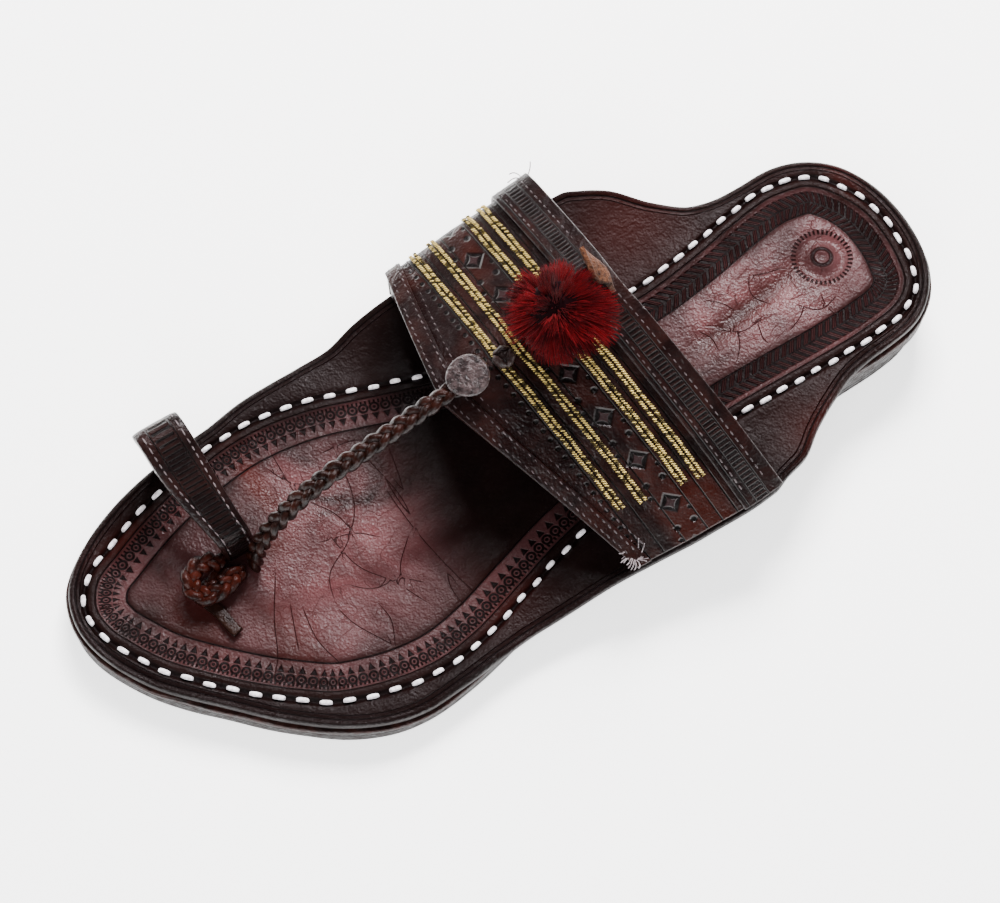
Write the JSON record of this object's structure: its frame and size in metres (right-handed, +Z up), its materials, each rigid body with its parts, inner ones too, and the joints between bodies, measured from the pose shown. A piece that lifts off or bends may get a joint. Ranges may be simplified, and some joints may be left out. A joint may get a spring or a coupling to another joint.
{
  "type": "kolhapuri_sandal",
  "caption": "Left kolhapuri sandal: tooled leather sole with side ears, stacked heel, ridged instep band, braided toe thong, big toe loop and red wool pompom",
  "frame": {"origin": "bottom centre of the bounding box, on the floor under the middle of the sandal", "axes": "+Z up, toe towards -Y, heel towards +Y, little toe side +X, big toe side -X"},
  "size_m": [0.1168, 0.2734, 0.0786],
  "materials": {
    "sole_leather": "stacked sole leather, dark stained, matte edge",
    "footbed_leather": "oiled vegetable tanned leather, worn and creased",
    "dark_leather": "dark brown dyed leather, tooled, satin",
    "braid_leather": "thin cut leather strands, oiled",
    "button_leather": "waxed grey brown leather",
    "tan_leather": "undyed flesh side",
    "red_wool": "loose wool yarn"
  },
  "bodies": {
    "root": {"outsole": "sole_leather", "welt": "sole_leather", "heel": "sole_leather", "insole": "footbed_leather", "instep_band": "dark_leather", "rear_strip": "dark_leather", "front_strip": "dark_leather", "button": "button_leather", "bead": "button_leather", "rosette": "dark_leather", "pompom": "red_wool", "rear_tab": "tan_leather", "thong": "braid_leather", "toe_knot": "braid_leather", "tail": "braid_leather", "toe_loop": "dark_leather"}
  },
  "joints": []
}
